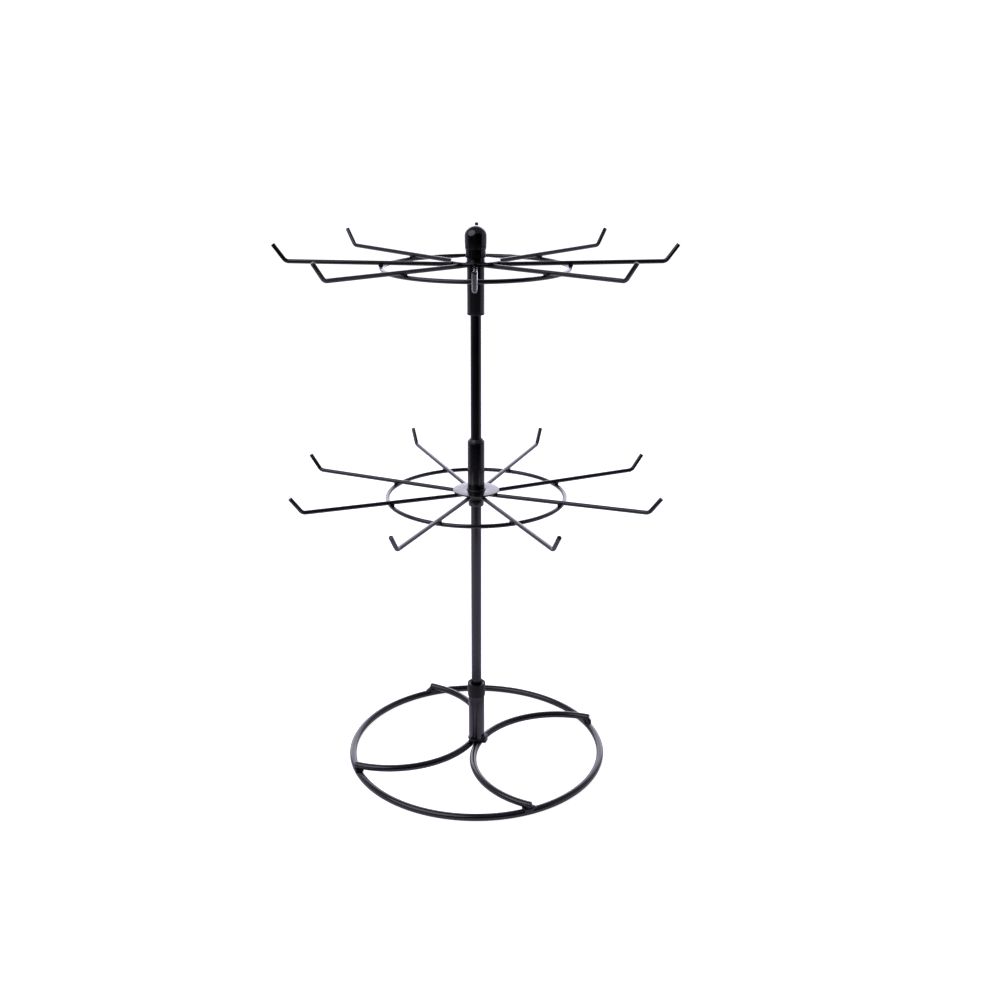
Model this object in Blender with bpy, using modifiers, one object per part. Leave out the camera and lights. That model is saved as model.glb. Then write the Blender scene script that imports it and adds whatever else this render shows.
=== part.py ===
"""Two-tier revolving hook stand of welded rod and wire, for hanging mugs.

A ring of rod lies on the table. Two semicircles of the same rod lie on it back to back and carry a
socket tube where they meet. A plain pole stands in the socket. Each tier is a sleeve with a hub
disc, eight arms of wire that end in hooks, and a ring of wire under the arms. The lower tier turns
on a stop collar, and the upper tier turns on a plug in the top of the pole.
"""
import math

import bmesh
import bpy
from mathutils import Matrix, Vector

MM = 0.001

# Fits
WELD_GAP = 0.3 * MM          # between faces that touch, are pressed together or are welded
RUN_GAP = 0.35 * MM          # on the radius, where a bush turns on the pole
SOCKET_PLAY = 0.45 * MM      # on the radius, where the pole drops into its socket

# Base
BASE_RING_RADIUS = 128.0 * MM        # to the middle of the rod
BASE_ROD_DIAMETER = 7.0 * MM
BASE_BOW_OVERHANG = 2.0 * MM         # ends of the bows past the middle of the ring's rod
BASE_TURN = math.radians(-22.5)      # direction that the first bow opens to
SOCKET_WALL = 2.55 * MM              # around the pole and its play
SOCKET_LENGTH = 62.0 * MM
MOUTH_CAP_WALL = 0.7 * MM            # of its skirt, around the socket tube
MOUTH_CAP_SKIRT = 12.0 * MM          # how far it reaches down over the tube
MOUTH_CAP_TOP = 1.8 * MM
MOUTH_CAP_TAPER = 5.0 * MM           # height of the slope at the skirt's lower end
MOUTH_FUNNEL = 2.0 * MM              # how much wider the mouth is than the bore
MOUTH_FUNNEL_DEPTH = 1.4 * MM

# Pole
POLE_DIAMETER = 10.2 * MM
POLE_WALL = 1.0 * MM

# Tiers
LOWER_TIER_HEIGHT = 282.6 * MM       # middle of the arms' wire above the table
UPPER_TIER_HEIGHT = 498.6 * MM
LOWER_TIER_TURN = math.radians(22.5)
UPPER_TIER_TURN = 0.0
ARM_COUNT = 8
ARM_WIRE = 4.0 * MM
ARM_REACH = 170.0 * MM               # from the pole's axis to the corner of the hook
ARM_RISE = 2.6 * MM                  # of the corner above the arm's inner end
ARM_BEND_RADIUS = 6.0 * MM
HOOK_OUT = 11.0 * MM
HOOK_UP = 15.0 * MM
TIER_RING_RADIUS = 85.0 * MM
TIER_RING_WIRE = 4.0 * MM

# Hubs
SLEEVE_DIAMETER = 16.2 * MM
SLEEVE_WALL = 1.2 * MM
HUB_DISC_DIAMETER = 44.5 * MM
HUB_DISC_THICKNESS = 1.5 * MM
LOWER_SLEEVE_ABOVE = 50.8 * MM       # end of the sleeve above the middle of the arms
LOWER_SLEEVE_BELOW = 3.7 * MM
UPPER_SLEEVE_ABOVE = 18.0 * MM
UPPER_SLEEVE_BELOW = 43.6 * MM
BUSH_FLANGE = 1.2 * MM
BUSH_STEM = 7.8 * MM                 # length inside the sleeve
BUSH_CHAMFER = 0.5 * MM
SLOPED_FLANGE = 3.0 * MM             # of the bush on the lower sleeve, sloped down from the pole
SLOPED_FLANGE_SLOPE = 2.2 * MM       # height of the slope
SLOPED_FLANGE_LIP = 0.45 * MM        # around the bore at the top of the slope
STOP_COLLAR_WALL = 2.0 * MM          # around the pole
STOP_COLLAR_HEIGHT = 7.0 * MM
STOP_SCREW_DIAMETER = 3.4 * MM
STOP_SCREW_SINK = 0.4 * MM           # outer end below the collar's face

# Top bearing and finial
CUP_LENGTH = 12.0 * MM
CUP_CROWN = 4.0 * MM
POLE_PLUG_HEAD = 1.5 * MM
POLE_PLUG_DOME = 2.0 * MM
POLE_PLUG_STEM = 12.0 * MM
KNOB_WALL = 1.8 * MM                 # of its head, around the upper sleeve
KNOB_SKIRT_WALL = 0.9 * MM
KNOB_LENGTH = 27.7 * MM
KNOB_GRIP = 12.0 * MM                # length of sleeve inside the knob
KNOB_SKIRT_LENGTH = 7.0 * MM
KNOB_TUCK = 8.0 * MM                 # height over which the head narrows to the skirt
KNOB_DOME_RISE = 8.8 * MM

# Fineness of the round shapes
ROUND_STEPS = 24
DISC_STEPS = 36
RING_STEPS = 64
BASE_RING_STEPS = 80
ROD_SIDES = 10
BOW_POINTS = 25
BEND_POINTS = 4
PLUG_DOME_POINTS = 6
KNOB_DOME_POINTS = 12
KNOB_TUCK_POINTS = 6
ROD_BEVEL_RESOLUTION = 3
WIRE_BEVEL_RESOLUTION = 2
SHARP_ANGLE = math.radians(40.0)
MERGE_DISTANCE = 0.01 * MM
PIVOT_DISPLAY_SIZE = 30.0 * MM

# Colour, roughness and metallic value of each finish
FINISHES = {
    "coated_rod": ((0.012, 0.011, 0.014), 0.22, 0.0),
    "coated_wire": ((0.014, 0.013, 0.017), 0.25, 0.0),
    "coated_tube": ((0.010, 0.010, 0.012), 0.20, 0.0),
    "moulded_black": ((0.006, 0.006, 0.007), 0.12, 0.0),
    "nylon": ((0.030, 0.030, 0.032), 0.45, 0.0),
    "steel_screw": ((0.25, 0.25, 0.26), 0.35, 1.0),
}


def clear_scene():
    for old in list(bpy.data.objects):
        bpy.data.objects.remove(old, do_unlink=True)


def make_collection(name):
    collection = bpy.data.collections.new(name)
    bpy.context.scene.collection.children.link(collection)
    return collection


def make_empty(name, location, collection, parent=None):
    empty = bpy.data.objects.new(name, None)
    empty.empty_display_size = PIVOT_DISPLAY_SIZE
    collection.objects.link(empty)
    empty.parent = parent
    empty.location = location
    return empty


def make_material(name, finish):
    colour, roughness, metallic = FINISHES[finish]
    material = bpy.data.materials.new(name)
    material.use_nodes = True
    shader = material.node_tree.nodes["Principled BSDF"]
    shader.inputs["Base Color"].default_value = (*colour, 1.0)
    shader.inputs["Roughness"].default_value = roughness
    shader.inputs["Metallic"].default_value = metallic
    return material


def smooth(mesh):
    mesh.shade_smooth()
    mesh.set_sharp_from_angle(angle=SHARP_ANGLE)


def place(name, data, finish, collection, parent, location=(0.0, 0.0, 0.0), turn=0.0):
    """Make an object of the data, with its own material, under its parent."""
    piece = bpy.data.objects.new(name, data)
    collection.objects.link(piece)
    piece.data.materials.clear()
    piece.data.materials.append(make_material(name + "_finish", finish))
    piece.parent = parent
    piece.location = location
    piece.rotation_euler = (0.0, 0.0, turn)
    return piece


def turned_mesh(name, profile, closed=True):
    """Mesh of a profile of (radius, height) points, for a Screw modifier to turn about Z.

    The points run down the outer side. A closed profile comes back up its inner side, and an open
    one starts and ends on the axis.
    """
    mesh = bpy.data.meshes.new(name)
    shape = bmesh.new()
    corners = [shape.verts.new((radius, 0.0, height)) for radius, height in profile]
    for first, second in zip(corners, corners[1:]):
        shape.edges.new((first, second))
    if closed:
        shape.edges.new((corners[-1], corners[0]))
    shape.to_mesh(mesh)
    shape.free()
    return mesh


def turned(name, profile, steps, finish, collection, parent, closed=True):
    piece = place(name, turned_mesh(name, profile, closed), finish, collection, parent)
    screw = piece.modifiers.new("turn", "SCREW")
    screw.axis = "Z"
    screw.angle = math.tau
    screw.steps = steps
    screw.render_steps = steps
    screw.use_merge_vertices = True
    screw.merge_threshold = MERGE_DISTANCE
    screw.use_smooth_shade = True
    return piece


def dome_points(radius, rim_height, rise, count):
    """Profile points of a dome, from its top on the axis down to its rim."""
    points = [(0.0, rim_height + rise)]
    for step in range(1, count):
        angle = math.pi / 2 * (1 - step / (count - 1))
        points.append((radius * math.cos(angle), rim_height + rise * math.sin(angle)))
    return points


def ring_mesh(name, radius, diameter, steps):
    """Ring of rod whose flats, at the bottom and the top, are the rod's diameter apart."""
    corner_radius = diameter / 2 / math.cos(math.pi / ROD_SIDES)
    bpy.ops.mesh.primitive_torus_add(
        major_radius=radius,
        minor_radius=corner_radius,
        major_segments=steps,
        minor_segments=ROD_SIDES,
    )
    added = bpy.context.object
    mesh = added.data
    mesh.name = name
    bpy.data.objects.remove(added, do_unlink=True)
    smooth(mesh)
    return mesh


def rod_curve(name, points, diameter, resolution):
    """Round rod along straight runs between the points, with closed ends."""
    curve = bpy.data.curves.new(name, "CURVE")
    curve.dimensions = "3D"
    curve.bevel_depth = diameter / 2
    curve.bevel_resolution = resolution
    curve.use_fill_caps = True
    spline = curve.splines.new("POLY")
    spline.points.add(len(points) - 1)
    for corner, point in zip(spline.points, points):
        corner.co = (*point, 1.0)
    return curve


def half_circle(centre, radius, facing):
    """Points of a half circle in the XY plane that bulges away from the facing direction."""
    points = []
    for step in range(BOW_POINTS):
        angle = facing + math.pi / 2 + math.pi * step / (BOW_POINTS - 1)
        points.append(centre + Vector((math.cos(angle), math.sin(angle), 0.0)) * radius)
    return points


def bend(before, corner, after, radius):
    """Points that round the corner of a bent wire with an arc of the radius."""
    inward = (before - corner).normalized()
    outward = (after - corner).normalized()
    half_angle = inward.angle(outward) / 2
    reach = radius / math.tan(half_angle)
    centre = corner + (inward + outward).normalized() * (radius / math.sin(half_angle))
    start = corner + inward * reach - centre
    turn = math.pi - 2 * half_angle
    axis = start.cross(corner + outward * reach - centre)
    points = []
    for step in range(BEND_POINTS):
        spin = Matrix.Rotation(turn * step / (BEND_POINTS - 1), 3, axis)
        points.append(centre + spin @ start)
    return points


def arm_points():
    """Middle line of one arm along +X, with the hub's height at zero."""
    inner_end = Vector((SLEEVE_DIAMETER / 2 + WELD_GAP, 0.0, 0.0))
    disc_edge = Vector((HUB_DISC_DIAMETER / 2, 0.0, 0.0))
    corner = Vector((ARM_REACH, 0.0, ARM_RISE))
    tip = corner + Vector((HOOK_OUT, 0.0, HOOK_UP))
    return [inner_end, disc_edge, *bend(disc_edge, corner, tip, ARM_BEND_RADIUS), tip]


def arm_height_at(radius):
    """Height of an arm's middle line above the hub's, where the wire crosses the radius."""
    run = ARM_REACH - HUB_DISC_DIAMETER / 2
    return ARM_RISE * (radius - HUB_DISC_DIAMETER / 2) / run


def make_base(collection, root):
    rod_radius = BASE_ROD_DIAMETER / 2
    ring = ring_mesh("base_ring", BASE_RING_RADIUS, BASE_ROD_DIAMETER, BASE_RING_STEPS)
    place("base_ring", ring, "coated_rod", collection, root, (0.0, 0.0, rod_radius))

    back = rod_radius + WELD_GAP / 2
    end_reach = BASE_RING_RADIUS + BASE_BOW_OVERHANG
    bow_radius = (math.sqrt(2 * end_reach ** 2 - back ** 2) - back) / 2
    bow_height = BASE_ROD_DIAMETER + WELD_GAP + rod_radius
    for name, facing in (("base_bow_right", BASE_TURN), ("base_bow_left", BASE_TURN + math.pi)):
        opening = Vector((math.cos(facing), math.sin(facing), 0.0))
        points = half_circle(opening * (back + bow_radius), bow_radius, facing)
        rod = rod_curve(name, points, BASE_ROD_DIAMETER, ROD_BEVEL_RESOLUTION)
        place(name, rod, "coated_rod", collection, root, (0.0, 0.0, bow_height))
    return bow_height + rod_radius + WELD_GAP


def make_socket(collection, root, foot):
    bore = POLE_DIAMETER / 2 + SOCKET_PLAY
    outer = bore + SOCKET_WALL
    top = foot + SOCKET_LENGTH
    tube = [(outer, top), (outer, foot), (bore, foot), (bore, top)]
    turned("socket_tube", tube, ROUND_STEPS, "coated_tube", collection, root)

    cap_inner = outer + WELD_GAP
    cap_outer = cap_inner + MOUTH_CAP_WALL
    cap_seat = top + WELD_GAP
    cap_top = cap_seat + MOUTH_CAP_TOP
    skirt_end = top - MOUTH_CAP_SKIRT
    chamfer = MOUTH_CAP_WALL / 2
    cap = [
        (cap_outer - chamfer, cap_top),
        (cap_outer, cap_top - chamfer),
        (cap_outer, skirt_end + MOUTH_CAP_TAPER),
        (cap_outer - chamfer, skirt_end),
        (cap_inner, skirt_end),
        (cap_inner, cap_seat),
        (bore, cap_seat),
        (bore, cap_top - MOUTH_FUNNEL_DEPTH),
        (bore + MOUTH_FUNNEL, cap_top),
    ]
    turned("socket_mouth_cap", cap, ROUND_STEPS, "moulded_black", collection, root)


def make_pole(collection, root, foot):
    """Pole with the plug in its top. Returns the height of the plug's dome."""
    outer = POLE_DIAMETER / 2
    bore = outer - POLE_WALL
    top = UPPER_TIER_HEIGHT
    tube = [(outer, top), (outer, foot), (bore, foot), (bore, top)]
    turned("pole", tube, ROUND_STEPS, "coated_tube", collection, root)

    stem = bore - WELD_GAP
    seat = top + WELD_GAP
    shoulder = seat + POLE_PLUG_HEAD
    stem_end = top - POLE_PLUG_STEM
    profile = dome_points(outer, shoulder, POLE_PLUG_DOME, PLUG_DOME_POINTS)
    profile += [(outer, seat), (stem, seat), (stem, stem_end), (0.0, stem_end)]
    turned("pole_top_plug", profile, ROUND_STEPS, "nylon", collection, root, closed=False)
    return shoulder + POLE_PLUG_DOME


def make_bush(name, end, inward, flange, slope, face, collection, parent):
    """Flanged bush in one end of a sleeve. inward is +1 where the sleeve lies above the end.

    The flange narrows to the radius of its face over the height of its slope.
    """
    rim = SLEEVE_DIAMETER / 2
    stem = rim - SLEEVE_WALL - WELD_GAP
    bore = POLE_DIAMETER / 2 + RUN_GAP
    seat = end - inward * WELD_GAP
    outside = seat - inward * flange
    tip = end + inward * BUSH_STEM
    profile = [
        (bore, tip),
        (stem, tip),
        (stem, seat),
        (rim, seat),
        (rim, outside + inward * slope),
        (face, outside),
        (bore, outside),
    ]
    if inward < 0:
        profile.reverse()
    turned(name, profile, ROUND_STEPS, "nylon", collection, parent)
    return outside


def make_carrier(tier, height, turn, above, below, collection, parent):
    """Sleeve, hub disc, arms and ring of one tier. The parent empty lies at the arms' height."""
    outer = SLEEVE_DIAMETER / 2
    bore = outer - SLEEVE_WALL
    sleeve = [(outer, above), (outer, -below), (bore, -below), (bore, above)]
    turned(tier + "_sleeve", sleeve, ROUND_STEPS, "coated_tube", collection, parent)

    disc_bottom = ARM_WIRE / 2 + WELD_GAP
    disc_top = disc_bottom + HUB_DISC_THICKNESS
    rim = HUB_DISC_DIAMETER / 2
    disc_bore = outer + WELD_GAP
    disc = [(rim, disc_top), (rim, disc_bottom), (disc_bore, disc_bottom), (disc_bore, disc_top)]
    turned(tier + "_hub_disc", disc, DISC_STEPS, "coated_tube", collection, parent)

    for number in range(ARM_COUNT):
        name = "{}_arm_{}".format(tier, number + 1)
        arm = rod_curve(name, arm_points(), ARM_WIRE, WIRE_BEVEL_RESOLUTION)
        angle = turn + math.tau * number / ARM_COUNT
        place(name, arm, "coated_wire", collection, parent, turn=angle)

    drop = (ARM_WIRE + TIER_RING_WIRE) / 2 + WELD_GAP
    ring = ring_mesh(tier + "_ring", TIER_RING_RADIUS, TIER_RING_WIRE, RING_STEPS)
    ring_height = arm_height_at(TIER_RING_RADIUS) - drop
    place(tier + "_ring", ring, "coated_wire", collection, parent, (0.0, 0.0, ring_height))


def drilled_rod(name, diameter, start, end):
    """Cylinder along +Y between two distances from the axis."""
    mesh = bpy.data.meshes.new(name)
    shape = bmesh.new()
    lay = Matrix.Translation((0.0, (start + end) / 2, 0.0)) @ Matrix.Rotation(math.pi / 2, 4, "X")
    bmesh.ops.create_cone(
        shape,
        cap_ends=True,
        segments=ROUND_STEPS // 2,
        radius1=diameter / 2,
        radius2=diameter / 2,
        depth=end - start,
        matrix=lay,
    )
    shape.to_mesh(mesh)
    shape.free()
    smooth(mesh)
    return mesh


def make_stop_collar(collection, cutters, root, top):
    """Collar that the lower tier stands on, with a grub screw at the back."""
    bore = POLE_DIAMETER / 2 + WELD_GAP
    outer = bore + STOP_COLLAR_WALL
    bottom = top - STOP_COLLAR_HEIGHT
    middle = (top + bottom) / 2
    profile = [(outer, top), (outer, bottom), (bore, bottom), (bore, top)]
    collar = turned("stop_collar", profile, ROUND_STEPS, "coated_tube", collection, root)

    hole = drilled_rod("stop_collar_hole", STOP_SCREW_DIAMETER + 2 * WELD_GAP, 0.0, 2 * outer)
    cutter = bpy.data.objects.new("stop_collar_hole", hole)
    cutters.objects.link(cutter)
    cutter.parent = root
    cutter.location = (0.0, 0.0, middle)
    cutter.hide_render = True
    cutter.display_type = "WIRE"
    cut = collar.modifiers.new("screw_hole", "BOOLEAN")
    cut.operation = "DIFFERENCE"
    cut.solver = "EXACT"
    cut.object = cutter

    screw = drilled_rod("stop_screw", STOP_SCREW_DIAMETER, bore, outer - STOP_SCREW_SINK)
    place("stop_screw", screw, "steel_screw", collection, root, (0.0, 0.0, middle))


def make_top_cup(dome, collection, parent):
    """Cup in the upper sleeve that sits over the plug in the pole. Heights are the tier's own."""
    outer = SLEEVE_DIAMETER / 2 - SLEEVE_WALL - WELD_GAP
    bore = POLE_DIAMETER / 2 + RUN_GAP
    ceiling = dome + WELD_GAP
    top = ceiling + CUP_CROWN
    bottom = top - CUP_LENGTH
    skirt = [(0.0, top), (outer, top), (outer, bottom), (bore, bottom)]
    profile = skirt + [(bore, ceiling), (0.0, ceiling)]
    turned("upper_pivot_cup", profile, ROUND_STEPS, "nylon", collection, parent, closed=False)


def make_knob(collection, parent):
    """Knob with a domed head and a skirt, pushed over the top of the upper sleeve."""
    bore = SLEEVE_DIAMETER / 2 + WELD_GAP
    skirt = bore + KNOB_SKIRT_WALL
    widest = bore + KNOB_WALL
    mouth = UPPER_SLEEVE_ABOVE - KNOB_GRIP
    seat = UPPER_SLEEVE_ABOVE + WELD_GAP
    top = mouth + KNOB_LENGTH
    profile = dome_points(widest, top - KNOB_DOME_RISE, KNOB_DOME_RISE, KNOB_DOME_POINTS)
    for step in range(KNOB_TUCK_POINTS):
        angle = math.pi / 2 * step / (KNOB_TUCK_POINTS - 1)
        radius = skirt + (widest - skirt) * math.cos(angle)
        height = mouth + KNOB_SKIRT_LENGTH + KNOB_TUCK * (1 - math.sin(angle))
        profile.append((radius, height))
    profile += [(skirt, mouth), (bore, mouth), (bore, seat), (0.0, seat)]
    turned("finial_knob", profile, ROUND_STEPS, "moulded_black", collection, parent, closed=False)


def main():
    clear_scene()
    stand = make_collection("revolving_hook_stand")
    cutters = make_collection("cutters")
    root = make_empty("root_frame", (0.0, 0.0, 0.0), stand)
    lower = make_empty("lower_tier_pivot", (0.0, 0.0, LOWER_TIER_HEIGHT), stand, root)
    upper = make_empty("upper_tier_pivot", (0.0, 0.0, UPPER_TIER_HEIGHT), stand, root)

    foot = make_base(stand, root)
    make_socket(stand, root, foot)
    dome = make_pole(stand, root, foot)

    make_carrier("lower", LOWER_TIER_HEIGHT, LOWER_TIER_TURN, LOWER_SLEEVE_ABOVE,
                 LOWER_SLEEVE_BELOW, stand, lower)
    face = SLEEVE_DIAMETER / 2 - BUSH_CHAMFER
    sloped_face = POLE_DIAMETER / 2 + RUN_GAP + SLOPED_FLANGE_LIP
    make_bush("lower_bush_top", LOWER_SLEEVE_ABOVE, -1, SLOPED_FLANGE, SLOPED_FLANGE_SLOPE,
              sloped_face, stand, lower)
    underside = make_bush("lower_bush_bottom", -LOWER_SLEEVE_BELOW, 1, BUSH_FLANGE, BUSH_CHAMFER,
                          face, stand, lower)
    make_stop_collar(stand, cutters, root, LOWER_TIER_HEIGHT + underside - WELD_GAP)

    make_carrier("upper", UPPER_TIER_HEIGHT, UPPER_TIER_TURN, UPPER_SLEEVE_ABOVE,
                 UPPER_SLEEVE_BELOW, stand, upper)
    make_bush("upper_bush_bottom", -UPPER_SLEEVE_BELOW, 1, BUSH_FLANGE, BUSH_CHAMFER, face,
              stand, upper)
    make_top_cup(dome - UPPER_TIER_HEIGHT, stand, upper)
    make_knob(stand, upper)


main()
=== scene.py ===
import math
import bmesh
import bpy
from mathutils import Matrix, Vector


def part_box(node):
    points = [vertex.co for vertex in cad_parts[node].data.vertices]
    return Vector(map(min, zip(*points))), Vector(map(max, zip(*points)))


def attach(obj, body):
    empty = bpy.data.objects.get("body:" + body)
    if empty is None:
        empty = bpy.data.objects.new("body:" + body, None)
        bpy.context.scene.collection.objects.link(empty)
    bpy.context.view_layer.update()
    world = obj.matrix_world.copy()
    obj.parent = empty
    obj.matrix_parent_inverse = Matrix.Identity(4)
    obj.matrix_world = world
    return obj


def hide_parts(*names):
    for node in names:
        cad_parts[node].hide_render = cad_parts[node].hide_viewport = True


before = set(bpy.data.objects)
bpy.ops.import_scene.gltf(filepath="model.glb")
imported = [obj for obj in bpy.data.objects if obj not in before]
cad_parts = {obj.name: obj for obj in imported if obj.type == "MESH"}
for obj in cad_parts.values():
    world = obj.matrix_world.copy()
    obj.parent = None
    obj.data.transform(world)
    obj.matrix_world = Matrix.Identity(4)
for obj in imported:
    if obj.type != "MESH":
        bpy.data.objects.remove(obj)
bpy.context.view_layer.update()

mm = 0.001
tiny = 0.01 * mm
weldGap = 0.3 * mm                        # between pieces that touch
turnSteps = 64                            # around tubes, caps and sleeves
smoothBelow = math.radians(38)            # sharper edges than this stay sharp
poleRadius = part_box("pole")[1].x
socketBore = poleRadius + 0.45 * mm       # the pole drops into it
bushBore = poleRadius + 0.35 * mm         # the bushes turn on the pole


# one piece is worked on at a time, and nothing else is selected

def choose(piece):                        # the piece alone is selected and active
    bpy.ops.object.select_all(action="DESELECT")
    piece.select_set(True)
    bpy.context.view_layer.objects.active = piece


def settle(piece):                        # place, turn and size go into the mesh
    choose(piece)
    bpy.ops.object.transform_apply(location=True, rotation=True, scale=True)


def openMesh(piece):
    choose(piece)
    bpy.ops.object.mode_set(mode="EDIT")
    bpy.ops.mesh.select_mode(type="FACE")
    bpy.ops.mesh.select_all(action="SELECT")


def pick(kind, test):                     # the parts of the open mesh whose corners all pass
    bpy.ops.mesh.select_mode(type=kind)
    bpy.ops.mesh.select_all(action="DESELECT")
    shape = bmesh.from_edit_mesh(bpy.context.object.data)
    parts = {"VERT": shape.verts, "EDGE": shape.edges, "FACE": shape.faces}[kind]
    for part in parts:
        corners = [part] if kind == "VERT" else part.verts
        if all(test(corner.co) for corner in corners):
            part.select_set(True)
    shape.select_flush_mode()
    bmesh.update_edit_mesh(bpy.context.object.data)


def sealMesh():                           # seams merged and faces turned outwards
    bpy.ops.mesh.select_all(action="SELECT")
    bpy.ops.mesh.remove_doubles(threshold=tiny / 10)
    bpy.ops.mesh.normals_make_consistent(inside=False)
    bpy.ops.object.mode_set(mode="OBJECT")


def stretch(vector):                      # pulls new faces or edges from what is selected
    bpy.ops.mesh.extrude_region_move(TRANSFORM_OT_translate={"value": vector})


def applyModifier(piece, kind, **settings):
    modifier = piece.modifiers.new(kind.lower(), kind)
    for key, value in settings.items():
        setattr(modifier, key, value)
    bpy.context.view_layer.objects.active = piece
    bpy.ops.object.modifier_apply(modifier=modifier.name)


def copyTurned(piece, name, angle, rise=0.0):
    choose(piece)
    bpy.ops.object.duplicate(linked=False)
    twin = bpy.context.object
    twin.name = name
    twin.location = (0, 0, rise)
    twin.rotation_euler = (0, 0, angle)
    settle(twin)
    return twin


def cutAway(piece, cutter):               # takes the cutter's shape out of the piece
    applyModifier(piece, "BOOLEAN", operation="DIFFERENCE", solver="EXACT", object=cutter)
    bpy.data.objects.remove(cutter, do_unlink=True)


def handOver(piece, body, slot, material, *nodes):
    # its finish, and the body and imported nodes that it stands for
    choose(piece)
    bpy.ops.object.shade_smooth_by_angle(angle=smoothBelow)
    piece.data.materials.clear()
    piece.data.materials.append(material)
    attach(piece, body)
    if nodes:
        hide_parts(*nodes)


def remove(piece):
    bpy.data.objects.remove(piece, do_unlink=True)


def wayOut(angle):                        # level and of unit length, at an angle from +X
    return Vector((math.cos(angle), math.sin(angle), 0))


# shapes that several pieces share

def turnedWall(name, bore, outer, bottom, top, rim):
    # a wall's section with its corners rounded, spun once about the pole's axis
    middle = ((bore + outer) / 2, 0, (bottom + top) / 2)
    bpy.ops.mesh.primitive_plane_add(size=1, location=middle, rotation=(math.pi / 2, 0, 0))
    piece = bpy.context.object
    piece.name = name
    piece.scale = (outer - bore, top - bottom, 1)
    settle(piece)
    openMesh(piece)
    bpy.ops.mesh.bevel(offset=rim, segments=4, affect="VERTICES")
    bpy.ops.mesh.delete(type="ONLY_FACE")
    bpy.ops.mesh.select_all(action="SELECT")
    bpy.ops.mesh.spin(steps=turnSteps, angle=math.tau, center=(0, 0, 0), axis=(0, 0, 1))
    sealMesh()
    return piece


def grownLoops(name, stations):
    # a round loop of edges pulled from station to station, each a radius and a height
    radius, height = stations[0]
    bpy.ops.mesh.primitive_circle_add(vertices=turnSteps, radius=radius, location=(0, 0, height))
    piece = bpy.context.object
    piece.name = name
    settle(piece)
    openMesh(piece)
    bpy.ops.mesh.select_mode(type="EDGE")
    bpy.ops.mesh.select_all(action="SELECT")
    for nextRadius, nextHeight in stations[1:]:
        stretch((0, 0, nextHeight - height))
        change = nextRadius / radius
        bpy.ops.transform.resize(value=(change, change, 1), center_override=(0, 0, nextHeight))
        radius, height = nextRadius, nextHeight
    return piece


def arcStations(radius, height, spread, rise, start, end, count):
    # stations on a quarter of an ellipse about the radius and height, angles in degrees
    stations = []
    for step in range(count + 1):
        angle = math.radians(start + (end - start) * step / count)
        stations.append((radius + spread * math.cos(angle), height + rise * math.sin(angle)))
    return stations


buttWeld = {"reach": 0.7, "fade": 0.9}    # of the thicker joint in a ring, in wire widths


def wireRing(name, radius, wire, height, around, sides, seam, upset):
    # a ring of round stock, a little thicker where its two ends are butt welded
    bpy.ops.mesh.primitive_torus_add(
        major_radius=radius, minor_radius=wire / 2, major_segments=around, minor_segments=sides,
        location=(0, 0, height))
    piece = bpy.context.object
    piece.name = name
    settle(piece)
    joint = Vector((radius * math.cos(seam), radius * math.sin(seam), height))
    openMesh(piece)
    pick("VERT", lambda spot: (spot - joint).length < wire * buttWeld["reach"])
    bpy.ops.transform.shrink_fatten(
        value=upset, use_proportional_edit=True, proportional_edit_falloff="SMOOTH",
        proportional_size=wire * buttWeld["fade"])
    sealMesh()
    return piece


weldRun = {"stepsPerBead": 3, "sides": 12, "slack": 0.001}     # slack in radians


def weldRing(name, radius, height, size, beads, ripple):
    # a weld run around a tube, rippled where each bead overlaps the last
    steps = weldRun["stepsPerBead"]
    bpy.ops.mesh.primitive_torus_add(
        major_radius=radius, minor_radius=size, major_segments=beads * steps,
        minor_segments=weldRun["sides"], location=(0, 0, height))
    piece = bpy.context.object
    piece.name = name
    settle(piece)
    openMesh(piece)
    share = math.tau / beads
    crest = share / steps - weldRun["slack"]      # short of the next step around
    pick("VERT", lambda spot: math.atan2(spot.y, spot.x) % share < crest)
    bpy.ops.transform.shrink_fatten(value=ripple)
    sealMesh()
    applyModifier(piece, "SUBSURF", levels=1, render_levels=1)
    return piece


lump = {
    "endWidth": 0.7,                      # of a lump that falls away, at its low end
    "ease": 0.2,                          # of the edges, as a share of the least side
    "bumpSize": 1.6 * mm, "bumpDepth": 0.35 * mm,
}


def weldLump(name, place, size, turn=0.0, fall=0.0):
    # weld metal: a block with its edges eased, rounded and made uneven; it may fall away along +X
    bpy.ops.mesh.primitive_cube_add(size=1)
    piece = bpy.context.object
    piece.name = name
    piece.scale = size
    settle(piece)
    openMesh(piece)
    if fall:
        pick("VERT", lambda spot: spot.x > 0 and spot.z > 0)
        bpy.ops.transform.translate(value=(0, 0, -fall))
        pick("VERT", lambda spot: spot.x > 0)
        bpy.ops.transform.resize(value=(1, lump["endWidth"], 1), center_override=(0, 0, 0))
        bpy.ops.mesh.select_all(action="SELECT")
    bpy.ops.mesh.bevel(offset=min(size) * lump["ease"], segments=2)
    sealMesh()
    applyModifier(piece, "SUBSURF", levels=2, render_levels=2)
    piece.location = place
    piece.rotation_euler = (0, 0, turn)
    settle(piece)
    uneven = bpy.data.textures.new(name + "Uneven", "CLOUDS")
    uneven.noise_scale = lump["bumpSize"]
    applyModifier(piece, "DISPLACE", texture=uneven, strength=lump["bumpDepth"], mid_level=0.5)
    bpy.data.textures.remove(uneven)
    return piece


# finishes: effects that several materials share are node groups

def addNode(tree, kind, inputs=None, **settings):
    node = tree.nodes.new(kind)
    for key, value in settings.items():
        setattr(node, key, value)
    for key, value in (inputs or {}).items():
        node.inputs[key].default_value = value
    return node


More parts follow.
